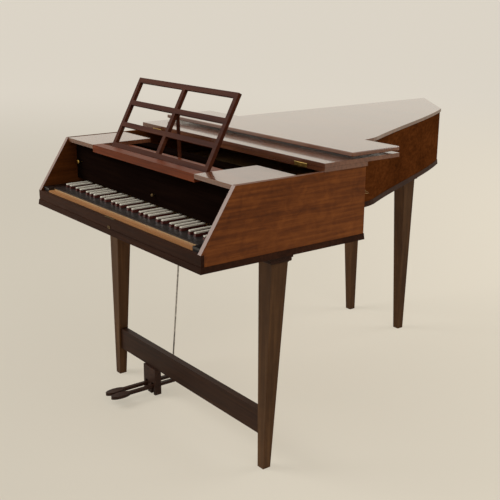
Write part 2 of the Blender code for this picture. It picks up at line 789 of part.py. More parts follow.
def sharp_offset(index):
    """How far a sharp's middle lies from the joint after natural number index; None where there is none."""
    letters = "GABCDEF"
    shift = {"G": 0.0, "A": 1.8 * MM, "C": -1.8 * MM, "D": 1.8 * MM, "F": -2.2 * MM}
    if index < 0 or index >= NATURALS - 1:
        return None
    return shift.get(letters[index % 7])


def sharp_middle(index):
    return key_start() + (index + 1) * natural_pitch() + sharp_offset(index)


def natural_outline(index):
    left = key_start() + index * natural_pitch() + KEY_GAP / 2
    right = left + natural_pitch() - KEY_GAP
    clear = SHARP_WIDTH / 2 + SHARP_GAP
    outline = [(left, KEY_FRONT), (right, KEY_FRONT)]
    if sharp_offset(index) is None:
        outline.append((right, KEY_END))
    else:
        waist = sharp_middle(index) - clear
        outline += [(right, HEAD_END), (waist, HEAD_END), (waist, KEY_END)]
    if sharp_offset(index - 1) is None:
        outline.append((left, KEY_END))
    else:
        waist = sharp_middle(index - 1) + clear
        outline += [(waist, KEY_END), (waist, HEAD_END), (left, HEAD_END)]
    return outline


def natural_key(name, index, material):
    frame = in_plan(height(KEY_BOTTOM_Z), height(NATURAL_TOP_Z))
    return plate(name, [natural_outline(index)], NATURAL_TOP_Z - KEY_BOTTOM_Z, frame, material)


def sharp_key(name, index, material):
    """A lever with the raised sharp, whose sides and front draw in towards its top."""
    middle = sharp_middle(index)
    half = SHARP_WIDTH / 2
    deck_z = height(NATURAL_TOP_Z) - SHARP_SINK
    top_z = height(SHARP_TOP_Z)
    profile = [
        (SHARP_FRONT, height(KEY_BOTTOM_Z)), (KEY_END, height(KEY_BOTTOM_Z)), (KEY_END, deck_z),
        (SHARP_END, deck_z), (SHARP_END, top_z), (SHARP_FRONT + 2.5 * SHARP_DRAFT, top_z), (SHARP_FRONT, deck_z)]
    made = plate(name, [profile], SHARP_WIDTH, in_side(middle - half, middle + half), material)
    for vertex in made.data.vertices:
        if vertex.co.z > top_z - GAP:
            vertex.co.x -= math.copysign(SHARP_DRAFT, vertex.co.x - middle)
    return made


def key_names():
    """Names for the loose keys, counted from the middle C."""
    letters = "GABCDEF"
    named = []
    for index in range(FIRST_LOOSE, LAST_LOOSE + 1):
        octave = 1 if index < 24 else 2
        named.append(("key_%s%d" % (letters[index % 7].lower(), octave), index, False))
        if index < LAST_LOOSE and sharp_offset(index) is not None:
            named.append(("key_%s%ds" % (letters[index % 7].lower(), octave), index, True))
    return named


def key_frame():
    """Front bar, balance bar and back bar on two arms; the outer keys are fixed on its felts."""
    bed = height(BOTTOM_THICK + GAP)
    rest = height(KEY_BOTTOM_Z) - REST_HEIGHT_DROP
    reach = FRAME_ARM_X + FRAME_ARM_WIDTH / 2
    made = box(
        "key_frame", (-reach, BALANCE_Y - BALANCE_BAR_DEPTH / 2, bed),
        (reach, BALANCE_Y + BALANCE_BAR_DEPTH / 2, rest - FELT_BITE), pine())
    pieces = []
    bars = ((FRONT_BAR, height(FRONT_BAR_TOP_Z)), (BACK_BAR, rest))
    for index, (span, top) in enumerate(bars):
        join(made, box("bar_%d" % index, (-reach, span[0], bed), (reach, span[1], top), None, CUTTERS))
    for index, side in enumerate((-1, 1)):
        ends = sorted((side * reach, side * (reach - FRAME_ARM_WIDTH)))
        arm = box(
            "arm_%d" % index, (ends[0] + side * MM, FRONT_BAR[0] + MM, bed),
            (ends[1] + side * MM, BACK_BAR[1] - MM, bed + FRAME_ARM_HEIGHT), None, CUTTERS)
        join(made, arm)
    left_end = key_start() + FIRST_LOOSE * natural_pitch()
    right_end = key_start() + (LAST_LOOSE + 1) * natural_pitch()
    edge = -key_start()
    felts = [
        (-edge, left_end - KEY_GAP, height(KEY_BOTTOM_Z) + FELT_BITE),
        (left_end + KEY_GAP, right_end - KEY_GAP, rest),
        (right_end + KEY_GAP, edge, height(KEY_BOTTOM_Z) + FELT_BITE)]
    for index, (low, high, top) in enumerate(felts):
        felt = box(
            "felt_%d" % index, (low, BALANCE_Y - FELT_WIDTH / 2, rest - 2 * FELT_BITE),
            (high, BALANCE_Y + FELT_WIDTH / 2, top), None, CUTTERS)
        join(made, felt)
    for index in range(NATURALS):
        if FIRST_LOOSE <= index <= LAST_LOOSE:
            continue
        pieces.append(natural_key("fixed_natural_%d" % index, index, ebony()))
    for index in range(NATURALS - 1):
        loose = FIRST_LOOSE <= index < LAST_LOOSE
        if loose or sharp_offset(index) is None:
            continue
        pieces.append(sharp_key("fixed_sharp_%d" % index, index, bone()))
    return join_all(made, pieces)


def keyboard():
    key_frame()
    for name, index, is_sharp in key_names():
        if is_sharp:
            made = sharp_key(name, index, bone())
            middle = sharp_middle(index)
        else:
            made = natural_key(name, index, ebony())
            middle = key_start() + (index + 0.5) * natural_pitch()
        origin_at(made, (middle, BALANCE_Y, height(KEY_BOTTOM_Z)))


# Inside the case

def note_x(note, pitch_width):
    return (note - (NOTES - 1) / 2) * pitch_width


def wrest_plank():
    inner = CASE_WIDTH / 2 - WALL - GAP
    low, high = PLANK_SPAN
    made = box(
        "wrest_plank", (-inner, low, height(PLANK_BOTTOM_Z)), (inner, high, height(PLANK_TOP_Z)), pine())
    size = NUT_SIZE
    join(made, box(
        "nut", (-size.x / 2, NUT_Y, height(PLANK_TOP_Z) - MM),
        (size.x / 2, NUT_Y + size.y, height(PLANK_TOP_Z) + size.z), None, CUTTERS))
    pins = []
    for note in range(NOTES):
        x = note_x(note, size.x / NOTES)
        y = PIN_ROW_Y + (note % 2) * PIN_STAGGER
        pins.append(rod(
            "wrest_pin_%d" % note, (x, y, height(PLANK_TOP_Z) - MM), (x, y, height(PLANK_TOP_Z) + PIN_HEIGHT),
            PIN_RADIUS, 6, None, CUTTERS))
    return join_all(made, pins)


def jack_slide():
    """The register with one row of jacks."""
    low, high = SLIDE_SPAN
    reach = SLIDE_HALF_WIDTH
    made = box("jack_slide", (-reach, low, height(SLIDE_Z[0])), (reach, high, height(SLIDE_Z[1])), pine())
    size = JACK_SIZE
    middle = (low + high) / 2
    foot = height(JACK_FOOT_Z)
    jacks = []
    for note in range(NOTES):
        x = note_x(note, 2 * -key_start() / NOTES)
        jacks.append(box(
            "jack_%d" % note, (x - size.x / 2, middle - size.y / 2, foot),
            (x + size.x / 2, middle + size.y / 2, foot + size.z), None, CUTTERS))
    join_all(made, jacks)
    return made


def inner_rails():
    inner = CASE_WIDTH / 2 - WALL - GAP
    low, high = JACK_RAIL_SPAN
    box("jack_rail", (-inner, low, height(JACK_RAIL_Z[0])), (inner, high, height(JACK_RAIL_Z[1])), dark_mahogany())
    box(
        "belly_rail", (-inner, BELLY_Y, height(BOTTOM_THICK + GAP)),
        (inner, BELLY_Y + BELLY_THICK, height(SOUNDBOARD_Z) - GAP), pine())


def soundboard():
    outline = inside(WALL + GAP, BELLY_Y)
    frame = in_plan(height(SOUNDBOARD_Z), height(SOUNDBOARD_Z + SOUNDBOARD_THICK))
    plate("soundboard", [outline], SOUNDBOARD_THICK, frame, pine())
    outer = inside(BRIDGE_INSET)
    inner = inside(BRIDGE_INSET + BRIDGE_WIDTH)
    first = 5
    last = len(outer) - 2
    strip = outer[first:last] + inner[first:last][::-1]
    low = height(SOUNDBOARD_Z + SOUNDBOARD_THICK + GAP)
    plate("bridge", [strip], BRIDGE_HEIGHT, in_plan(low, low + BRIDGE_HEIGHT), dark_mahogany())


# Stand

def leg_corners(top_middle, top_width, toe):
    """The middle and half width of a leg at its head and at the floor."""
    head = Vector((top_middle[0], top_middle[1], height(-LEG_HEAD)))
    foot = Vector((top_middle[0] + toe[0], top_middle[1] + toe[1], 0.0))
    return head, top_width / 2, foot, LEG_FOOT / 2


def leg(name, top_middle, top_width, toe):
    """A square leg that tapers to the floor, under a collar and a plate."""
    head, head_half, foot, foot_half = leg_corners(top_middle, top_width, toe)
    bm = bmesh.new()
    bmesh.ops.create_cube(bm, size=2.0)
    for vertex in bm.verts:
        middle, half = (head, head_half) if vertex.co.z > 0 else (foot, foot_half)
        lift = BLEND if vertex.co.z > 0 else 0.0
        vertex.co = (middle.x + vertex.co.x * half, middle.y + vertex.co.y * half, middle.z + lift)
    made = to_object(name, bm, mahogany())
    x, y = top_middle
    collar = head_half + COLLAR_OVER
    plate_half = head_half + LEG_PLATE_OVER
    seam = height(-LEG_PLATE_THICK)
    join(made, box(
        name + "_collar", (x - collar, y - collar, head.z), (x + collar, y + collar, seam + BLEND), None, CUTTERS))
    join(made, box(
        name + "_plate", (x - plate_half, y - plate_half, seam), (x + plate_half, y + plate_half, height(-GAP)),
        None, CUTTERS))
    return made


def front_leg_face(z):
    """Half the clear width between the front legs, at a height over the floor."""
    x, y = FRONT_LEG
    head, head_half, foot, foot_half = leg_corners((x, y), FRONT_LEG_TOP, (-FOOT_TOE_IN, FOOT_TOE_FRONT))
    share = z / head.z
    middle = foot.x + (head.x - foot.x) * share
    return middle - (foot_half + (head_half - foot_half) * share)


def stand():
    x, y = FRONT_LEG
    leg("leg_front_left", (-x, y), FRONT_LEG_TOP, (FOOT_TOE_IN, FOOT_TOE_FRONT))
    leg("leg_front_right", (x, y), FRONT_LEG_TOP, (-FOOT_TOE_IN, FOOT_TOE_FRONT))
    leg("leg_rear_left", (REAR_LEG_XS[0], REAR_LEG_Y), REAR_LEG_TOP, (FOOT_TOE_IN, FOOT_TOE_REAR))
    leg("leg_rear_right", (REAR_LEG_XS[1], REAR_LEG_Y), REAR_LEG_TOP, (-FOOT_TOE_IN, FOOT_TOE_REAR))
    low, high = STRETCHER_FLOOR
    made = box("stretcher", (-1.0, STRETCHER_Y[0], low), (1.0, STRETCHER_Y[1], high), mahogany())
    for vertex in made.data.vertices:
        vertex.co.x = math.copysign(front_leg_face(vertex.co.z) - GAP, vertex.co.x)


# Pedals

def rod_y(index, z):
    """The Y of a rod's middle line at a height over the floor."""
    foot = PEDAL_AXLE_FLOOR + PEDAL_THICK / 2 + ROD_SEAT
    return ROD_FOOT_YS[index] + (z - foot) * ROD_LEAN


def pedal_block():
    low, high = PEDAL_BLOCK_X
    top = STRETCHER_FLOOR[0] - GAP
    half = PEDAL_LEVER_WIDTH / 2 + RUNNING
    front, back = PEDAL_BLOCK_Y
    made = box("pedal_block", (low, front, PEDAL_BLOCK_FLOOR), (high, back, top), dark_mahogany())
    for index, x in enumerate(PEDAL_XS):
        slot = box(
            "pedal_slot_%d" % index, (x - half, front - MM, PEDAL_BLOCK_FLOOR - MM),
            (x + half, back + MM, PEDAL_SLOT_TOP), None, CUTTERS)
        join(made, slot, "DIFFERENCE")
    axle = rod(
        "pedal_axle", (low - RUNNING, PEDAL_AXLE_Y, PEDAL_AXLE_FLOOR), (high + RUNNING, PEDAL_AXLE_Y, PEDAL_AXLE_FLOOR),
        PEDAL_AXLE_RADIUS, 14, None, CUTTERS)
    return join(made, axle)


def pedal(name, index):
    """A lever with a rounded treadle, as an outline in plan."""
    x = PEDAL_XS[index]
    half = PEDAL_LEVER_WIDTH / 2
    lobe = PEDAL_LOBE_WIDTH / 2
    middle = PEDAL_TIP + PEDAL_LOBE_LENGTH / 2
    outline = []
    steps = 14
    neck = math.asin(half / lobe)
    for step in range(steps + 1):
        angle = math.pi / 2 - neck - (2 * math.pi - 2 * neck) * step / steps
        outline.append((x + lobe * math.cos(angle), middle + PEDAL_LOBE_LENGTH / 2 * math.sin(angle)))
    outline += [(x - half, PEDAL_TAILS[index]), (x + half, PEDAL_TAILS[index])]
    low = PEDAL_AXLE_FLOOR - PEDAL_THICK / 2
    made = plate(name, [outline], PEDAL_THICK, in_plan(low, low + PEDAL_THICK), dark_mahogany())
    eye = rod(
        name + "_eye", (x - lobe, PEDAL_AXLE_Y, PEDAL_AXLE_FLOOR), (x + lobe, PEDAL_AXLE_Y, PEDAL_AXLE_FLOOR),
        PEDAL_AXLE_RADIUS + GAP, 16, None, CUTTERS)
    join(made, eye, "DIFFERENCE")
    return origin_at(made, (x, PEDAL_AXLE_Y, PEDAL_AXLE_FLOOR))


def trap_rod(name, index):
    x = PEDAL_XS[index]
    foot = PEDAL_AXLE_FLOOR + PEDAL_THICK / 2 + ROD_SEAT
    top = height(ROD_INSIDE)
    start = (x, rod_y(index, foot), foot)
    made = rod(name, start, (x, rod_y(index, top), top), ROD_RADIUS, 12, steel())
    return origin_at(made, start)


def pedals():
    pedal_block()
    for index, side in enumerate(("left", "right")):
        pedal("pedal_" + side, index)
        trap_rod("rod_" + side, index)


def centre_over_origin():
    """Sets the middle of everything over the origin, on the floor."""
    bpy.context.view_layer.update()
    graph = bpy.context.evaluated_depsgraph_get()
    low = Vector((1e9, 1e9, 1e9))
    high = -low
    for made in PARTS.objects:
        shape = made.evaluated_get(graph)
        for corner in shape.bound_box:
            point = shape.matrix_world @ Vector(corner)
            low = Vector(map(min, low, point))
            high = Vector(map(max, high, point))
    shift = Vector((-(low.x + high.x) / 2, -(low.y + high.y) / 2, -low.z))
    for made in bpy.data.objects:
        made.location += shift
    print("moved to the origin by", [round(value / MM, 4) for value in shift])


def main():
    start_scene()
    bottom_board()
    base_moulding()
    walls()
    front_rail()
    lock_fittings()
    key_surround()
    knobs()
    deck()
    music_desk()
    desk_strut()
    main_lid()
    flaps()
    flap_hinges()
    lid_hinge()
    keyboard()
    wrest_plank()
    jack_slide()
    inner_rails()
    soundboard()
    stand()
    pedals()
    centre_over_origin()


main()
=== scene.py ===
"""A harpsichord in a pale studio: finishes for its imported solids, with strings and leg plates added."""
import math

import bpy
import numpy as np
from mathutils import Matrix, Vector


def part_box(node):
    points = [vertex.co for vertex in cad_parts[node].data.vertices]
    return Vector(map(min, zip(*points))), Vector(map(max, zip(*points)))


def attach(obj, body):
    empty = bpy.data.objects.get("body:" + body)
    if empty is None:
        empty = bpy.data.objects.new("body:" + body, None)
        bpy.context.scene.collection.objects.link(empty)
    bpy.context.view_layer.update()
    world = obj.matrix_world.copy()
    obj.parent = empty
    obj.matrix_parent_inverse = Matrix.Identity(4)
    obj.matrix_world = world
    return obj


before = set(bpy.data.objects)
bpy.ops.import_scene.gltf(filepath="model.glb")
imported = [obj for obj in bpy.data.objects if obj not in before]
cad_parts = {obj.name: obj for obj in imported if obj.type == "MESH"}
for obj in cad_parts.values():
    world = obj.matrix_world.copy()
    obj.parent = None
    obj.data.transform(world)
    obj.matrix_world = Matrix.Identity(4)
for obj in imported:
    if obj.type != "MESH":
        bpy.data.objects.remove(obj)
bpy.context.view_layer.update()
MM = 0.001

# Camera of the photograph, from a fit to its lines, in millimetres, degrees and pixels

CAMERA_PLACE = Vector((2192.17, -2075.30, 1309.27)) * MM
CAMERA_YAW = 52.98
CAMERA_PITCH = 16.28
CAMERA_ROLL = 0.25
CAMERA_FOCAL_PIXELS = 894.87
FRAME_PIXELS = 500
CAMERA_CENTRE = (243.40, 249.39)
SENSOR = 36.0
VIEW_REACH = 500.0

# Grain directions, as axes of the case

ACROSS_CASE = 0
ALONG_CASE = 1
UPRIGHT = 2

# Sizes of the patterns. The fibres are drawn coarser than real ones, so that they show in the render

FIBRE_BUNDLE = 10.53 * MM
FIBRE_NARROWING = 0.045
COLOUR_BAND = 111.1 * MM
BAND_NARROWING = 0.16
CURL = 38.46 * MM
PORE_DEPTH = 0.3 * MM
LIME_STREAK = 4.167 * MM
STREAK_NARROWING = 0.08
TARNISH_DEPTH = 0.2 * MM

# How the figure of the wood mixes fibres and colour bands, and how dark tarnish is

FIBRE_SHARE = 0.55
BAND_SHARE = 0.45
POLISH_ROUGHNESS = 0.08
TARNISH = 0.6

# The sloped front edges of the case face forwards and up: their pale colour is a painted highlight, standing
# for the bright room mirrored in the polished edge

EDGE_FACING = (0.0, -0.89, 0.45)
EDGE_MATCH = 0.985
PAINTED_EDGE_HIGHLIGHT = "9a867e"

# Colours of the woods, from the darkest fibre to the lightest: a place on the ramp and a colour

CHEEK_BROWN = [(0.28, "3f1e0a"), (0.45, "5f3111"), (0.6, "764119"), (0.78, "8d5526")]
RAIL_BROWN = [(0.3, "1b0d07"), (0.5, "2c170d"), (0.72, "3d2214")]
NAMEBOARD_BLACK = [(0.3, "0c0604"), (0.5, "140b08"), (0.72, "1e120c")]
DESK_PLUM = [(0.3, "2c120a"), (0.5, "421f11"), (0.75, "56301d")]
SIDE_UMBER = [(0.3, "331808"), (0.5, "4f2910"), (0.75, "6a3b1b")]
LID_TAN = [(0.3, "4a2717"), (0.5, "663c26"), (0.75, "7f5236")]
TRAY_RUSSET = [(0.3, "4a1f0d"), (0.5, "6a3015"), (0.75, "85441f")]
LEG_TAWNY = [(0.3, "332013"), (0.5, "4b331f"), (0.75, "64472d")]
STRETCHER_BROWN = [(0.3, "1d110b"), (0.5, "301d13"), (0.75, "432b1c")]
SLIP_ORANGE = [(0.3, "8a5a34"), (0.7, "b78352")]
PINE_YELLOW = [(0.3, "a27b4c"), (0.7, "c9a672")]
BEECH_BROWN = [(0.3, "6a4526"), (0.7, "8a6038")]
BLOCK_BLACK = [(0.3, "0e0c0b"), (0.7, "211c1a")]
LIMEWOOD = [(0.3, "a8875c"), (0.7, "c9ab7e")]
EBONY = [(0.3, "141110"), (0.7, "2a2422")]
BONE = [(0.25, "cfc9b6"), (0.75, "e9e5d8")]
SHARP_RED = [(0.3, "3a1510"), (0.7, "5a241a")]

# Layers of a key: the cover under the naturals' tops, and the foot and the plate of a sharp over them

NATURAL_COVER = 3.5 * MM
SHARP_FOOT = 0.4 * MM
SHARP_PLATE = 8.5 * MM

# Strings: one for each key, in metres, and the power at which they shorten towards the treble

NOTES = 61
STRING_INSET = 6 * MM
STRING_FALL = 0.62
STRING_LIFT = 0.6 * MM
STRING_RADIUS = 0.3 * MM
STRING_START = 8 * MM

# Leg plates: how far each ring stands out from the leg's top, and how far it lies under it, bottom ring first

PLATE_PROUD = np.array([0.6, 3.0, 3.6, 3.0, 6.0, 6.0]) * MM
PLATE_DOWN = np.array([22.0, 20.0, 16.0, 12.0, 10.0, 0.4]) * MM

# Corners of a square, and the four walls between one square ring and the next

SQUARE = np.array([(-1, -1), (1, -1), (1, 1), (-1, 1)])
RING_WALLS = np.array([(k, (k + 1) % 4, 4 + (k + 1) % 4, 4 + k) for k in range(4)])

# Studio: sizes in metres, directions as the picture's right and its depth, and tones of the floor; the floor's
# seen tone carries painted light, darker to the left and lighter to the right and far away

FLOOR_HALF = 220.0
PICTURE_RIGHT = (0.60, 0.80, 0.0)
PICTURE_DEPTH = (-0.80, 0.60, 0.0)
LEFT_END = -2.0
RIGHT_END = 2.2
NEAR_END = 0.5
FAR_END = 9.0
FLOOR_PAPER = "d8d0c2"
FLOOR_ROUGHNESS = 0.9
FLOOR_LEFT_PAINTED_SHADE = "cbc4b4"
FLOOR_RIGHT_PAINTED_LIGHT = "f6ecd8"
FLOOR_FAR_PAINTED_LIGHT = "f8f1e4"
FLOOR_GLOW = 0.62
ROOM_TONE = "e4ddd2"
ROOM_LIGHT = 0.55
WALL_TONE = "e6dfd2"
LAMP_AIM = Vector((0, 0, 0.7))
LAMPS = (
    ("key_lamp", (-2.6, -3.2, 3.4), 2.6, 120.0),
    ("fill_lamp", (3.6, -1.0, 2.6), 3.0, 45.0),
    ("back_lamp", (1.5, 4.0, 3.2), 2.6, 70.0))


# Camera

def make_camera():
    """Turns yaw, pitch and roll into a rotation whose columns are right, up and back."""
    yaw = math.radians(CAMERA_YAW)
    pitch = math.radians(CAMERA_PITCH)
    roll = math.radians(CAMERA_ROLL)
    ahead = Vector((-math.sin(yaw) * math.cos(pitch), math.cos(yaw) * math.cos(pitch), -math.sin(pitch)))
    level = Vector((math.cos(yaw), math.sin(yaw), 0.0))
    lift = level.cross(ahead)
    right = level * math.cos(roll) + lift * math.sin(roll)
    up = lift * math.cos(roll) - level * math.sin(roll)
    data = bpy.data.cameras.new("photograph")
    data.sensor_width = SENSOR
    data.lens = CAMERA_FOCAL_PIXELS / FRAME_PIXELS * SENSOR
    data.shift_x = (FRAME_PIXELS / 2 - CAMERA_CENTRE[0]) / FRAME_PIXELS
    data.shift_y = (CAMERA_CENTRE[1] - FRAME_PIXELS / 2) / FRAME_PIXELS
    data.clip_end = VIEW_REACH
    made = bpy.data.objects.new("photograph", data)
    bpy.context.scene.collection.objects.link(made)
    turn = Matrix((right, up, -ahead)).transposed().to_4x4()
    made.matrix_world = Matrix.Translation(CAMERA_PLACE) @ turn
    bpy.context.scene.camera = made


# Colours and nodes

def linear(code):
    """An sRGB hex colour as linear red, green, blue and alpha."""
    parts = [int(code[i:i + 2], 16) / 255 for i in (0, 2, 4)]
    return tuple(c / 12.92 if c <= 0.04045 else ((c + 0.055) / 1.055) ** 2.4 for c in parts) + (1.0,)


def node(tree, kind, sockets=None, stops=None, **settings):
    """Adds a node with its settings, fills or links its sockets, and sets a ramp's colour stops."""
    made = tree.nodes.new(kind)
    for key, value in settings.items():
        setattr(made, key, value)
    for key, value in (sockets or {}).items():
        socket = made.inputs[key]
        if isinstance(value, bpy.types.NodeSocket):
            tree.links.new(value, socket)
        else:
            socket.default_value = value
    if stops:
        band = made.color_ramp.elements
        for spot, (place, code) in zip((band[0], band[1]), (stops[0], stops[-1])):
            spot.position = place
            spot.color = linear(code)
        for place, code in stops[1:-1]:
            band.new(place).color = linear(code)
    return made


def new_material(name):
    """An empty material with its node tree and its shader."""
    made = bpy.data.materials.new(name)
    made.use_nodes = True
    tree = made.node_tree
    return made, tree, tree.nodes["Principled BSDF"]


# Finishes

def timber(name, stops, grain, roughness, coat=0.0, figure=0.0, shine=0.2, pore=0.15, edge_highlight=None):
    """Wood under polish: long fibres and slower colour bands along the grain, a curl across it, and open pores.

    The ramp's place is the fibre share plus the band share, plus the curl's noise about its middle.
    """
    made, tree, shader = new_material(name)
    place = node(tree, "ShaderNodeTexCoord").outputs["Object"]
    narrowing = [1.0, 1.0, 1.0]
    narrowing[grain] = FIBRE_NARROWING
    along = node(tree, "ShaderNodeMapping", {"Vector": place, "Scale": narrowing}).outputs["Vector"]
    fibres = node(tree, "ShaderNodeTexNoise", {
        "Vector": along, "Scale": 1 / FIBRE_BUNDLE, "Detail": 7.0, "Roughness": 0.62,
        "Distortion": 0.25}).outputs["Fac"]
    narrowing[grain] = BAND_NARROWING
    slow = node(tree, "ShaderNodeMapping", {"Vector": place, "Scale": narrowing}).outputs["Vector"]
    bands = node(tree, "ShaderNodeTexNoise", {
        "Vector": slow, "Scale": 1 / COLOUR_BAND, "Detail": 3.0, "Distortion": 0.6}).outputs["Fac"]
    mixed = node(tree, "ShaderNodeMath", {0: fibres, 1: FIBRE_SHARE}, operation="MULTIPLY").outputs[0]
    mixed = node(tree, "ShaderNodeMath", {
        0: bands, 1: BAND_SHARE, 2: mixed}, operation="MULTIPLY_ADD").outputs[0]
    if figure:
        curl = node(tree, "ShaderNodeTexNoise", {
            "Vector": place, "Scale": 1 / CURL, "Detail": 2.0, "Distortion": 1.2}).outputs["Fac"]
        mixed = node(tree, "ShaderNodeMath", {
            0: curl, 1: figure, 2: mixed}, operation="MULTIPLY_ADD").outputs[0]
        mixed = node(tree, "ShaderNodeMath", {0: mixed, 1: figure / 2}, operation="SUBTRACT").outputs[0]
    colour = node(tree, "ShaderNodeValToRGB", {"Fac": mixed}, stops).outputs["Color"]
    # Faces turned forwards and up get a pale painted highlight in place of the wood's colour
    if edge_highlight:
        facing = node(tree, "ShaderNodeNewGeometry").outputs["True Normal"]
        slope = node(tree, "ShaderNodeVectorMath", {0: facing, 1: EDGE_FACING}, operation="DOT_PRODUCT")
        share = node(tree, "ShaderNodeMath", {
            0: slope.outputs["Value"], 1: EDGE_MATCH}, operation="GREATER_THAN").outputs[0]
        colour = node(tree, "ShaderNodeMix", {
            "Factor": share, 6: colour, 7: linear(edge_highlight)}, data_type="RGBA").outputs[2]
    tree.links.new(colour, shader.inputs["Base Color"])
    shader.inputs["Roughness"].default_value = roughness
    shader.inputs["Coat Weight"].default_value = coat
    shader.inputs["Coat Roughness"].default_value = POLISH_ROUGHNESS
    shader.inputs["Specular IOR Level"].default_value = shine
    bump = node(tree, "ShaderNodeBump", {"Height": fibres, "Strength": pore, "Distance": PORE_DEPTH})
    tree.links.new(bump.outputs["Normal"], shader.inputs["Normal"])
    return made


def metal(name, code, roughness, patch):
    """Rubbed metal: the clean colour, with darker tarnish in soft patches of the given size."""
    made, tree, shader = new_material(name)
    place = node(tree, "ShaderNodeTexCoord").outputs["Object"]
    patches = node(tree, "ShaderNodeTexNoise", {
        "Vector": place, "Scale": 1 / patch, "Detail": 4.0}).outputs["Fac"]
    darker = "%02x%02x%02x" % tuple(int(int(code[i:i + 2], 16) * TARNISH) for i in (0, 2, 4))
    colour = node(tree, "ShaderNodeValToRGB", {"Fac": patches}, [(0.3, darker), (0.7, code)])
    tree.links.new(colour.outputs["Color"], shader.inputs["Base Color"])
    shader.inputs["Metallic"].default_value = 1.0
    shader.inputs["Roughness"].default_value = roughness
    bump = node(tree, "ShaderNodeBump", {"Height": patches, "Strength": 0.1, "Distance": TARNISH_DEPTH})
    tree.links.new(bump.outputs["Normal"], shader.inputs["Normal"])
    return made


def key_covers(natural_top, key_rear):
    """Planed limewood keys with oiled ebony covers, red-brown sharps and bone plates on them.

    Each layer replaces the ones before it where the place on its axis is past its limit.
    """
    made, tree, shader = new_material("keys_of_ebony_and_bone")
    place = node(tree, "ShaderNodeTexCoord").outputs["Object"]
    split = node(tree, "ShaderNodeSeparateXYZ", {"Vector": place})
    streak = node(tree, "ShaderNodeMapping", {
        "Vector": place, "Scale": (1.0, STREAK_NARROWING, 1.0)}).outputs["Vector"]
    fibres = node(tree, "ShaderNodeTexNoise", {
        "Vector": streak, "Scale": 1 / LIME_STREAK, "Detail": 5.0}).outputs["Fac"]
    lime, black, bone, red = [
        node(tree, "ShaderNodeValToRGB", {"Fac": fibres}, stops).outputs["Color"]
        for stops in (LIMEWOOD, EBONY, BONE, SHARP_RED)]
    layers = (
        ("Z", natural_top - NATURAL_COVER, black),
        ("Y", key_rear, lime),
        ("Z", natural_top + SHARP_FOOT, red),
        ("Z", natural_top + SHARP_PLATE, bone))
    colour = lime
    for axis, limit, layer in layers:
        past = node(tree, "ShaderNodeMath", {
            0: split.outputs[axis], 1: limit}, operation="GREATER_THAN").outputs[0]
        colour = node(tree, "ShaderNodeMix", {
            "Factor": past, 6: colour, 7: layer}, data_type="RGBA").outputs[2]
    tree.links.new(colour, shader.inputs["Base Color"])
    shader.inputs["Roughness"].default_value = 0.38
    return made


# Added pieces

def solid(name, points, faces):
    """A mesh object in place, from arrays of points and faces."""
    mesh = bpy.data.meshes.new(name)
    mesh.from_pydata(points.tolist(), [], faces.tolist())
    made = bpy.data.objects.new(name, mesh)
    bpy.context.scene.collection.objects.link(made)
    return made


def strings():
    """Four-sided wires over the soundboard, evenly spaced along the nut.

    A wire starts on the wrest plank and ends at the bridge: its far end falls from the bridge's far tip to
    its near one as a power of the wire's share of the width.
    """
    low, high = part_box("wrest_plank")
    near_tip, far_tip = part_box("bridge")
    share = np.linspace(0.0, 1.0, NOTES)
    across = low[0] + STRING_INSET + (high[0] - low[0] - 2 * STRING_INSET) * share
    far = far_tip[1] + (near_tip[1] - far_tip[1]) * share ** STRING_FALL
    reach = np.stack([np.full(NOTES, low[1] + STRING_START), far], 1)
    corner = SQUARE * STRING_RADIUS
    points = np.empty((NOTES, 2, 4, 3))
    points[..., 0] = across[:, None, None] + corner[None, None, :, 0]
    points[..., 1] = reach[:, :, None]
    points[..., 2] = far_tip[2] + STRING_LIFT + corner[None, None, :, 1]
    wire = np.concatenate([RING_WALLS, [(3, 2, 1, 0), (4, 5, 6, 7)]])[:, ::-1]
    faces = (np.arange(NOTES)[:, None, None] * 8 + wire).reshape(-1, 4)
    made = solid("strings", points.reshape(-1, 3), faces)
    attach(made, "case")
    return made


def leg_plate(leg):
    """The stained plate that screws a leg to the case, with a moulded collar under it.

    It is a closed stack of square rings round the leg's axis: each ring's half width is the leg's plus
    how far it stands out, at its own depth under the leg's top.
    """
    low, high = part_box(leg)
    centre = np.array([(low[0] + high[0]) / 2, (low[1] + high[1]) / 2])
    half = (high[0] - low[0]) / 2 + PLATE_PROUD
    rings = len(half)
    points = np.empty((rings, 4, 3))
    points[..., :2] = centre + SQUARE[None] * half[:, None, None]
    points[..., 2] = (high[2] - PLATE_DOWN)[:, None]
    walls = (np.arange(rings - 1)[:, None, None] * 4 + RING_WALLS).reshape(-1, 4)
    top = (rings - 1) * 4 + np.arange(4)
    faces = np.concatenate([walls, [(3, 2, 1, 0)], [top]])
    made = solid(leg.replace("leg", "plate"), points.reshape(-1, 3), faces)
    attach(made, "case")
    return made


# Studio

def make_world():
    """A dim pale room for the light, seen and mirrored as the bright wall."""
    world = bpy.data.worlds.new("studio")
    bpy.context.scene.world = world
    world.use_nodes = True
    tree = world.node_tree
    room = tree.nodes["Background"]
    room.inputs["Color"].default_value = linear(ROOM_TONE)
    room.inputs["Strength"].default_value = ROOM_LIGHT
    wall = node(tree, "ShaderNodeBackground", {"Color": linear(WALL_TONE), "Strength": 1.0})
    ray = node(tree, "ShaderNodeLightPath")
    seen = ray.outputs["Is Camera Ray"]
    for kind in ("Is Glossy Ray", "Is Transmission Ray"):
        seen = node(tree, "ShaderNodeMath", {0: seen, 1: ray.outputs[kind]}, operation="MAXIMUM").outputs[0]
    mix = node(tree, "ShaderNodeMixShader", {0: seen, 1: room.outputs[0], 2: wall.outputs[0]})
    tree.links.new(mix.outputs[0], tree.nodes["World Output"].inputs["Surface"])


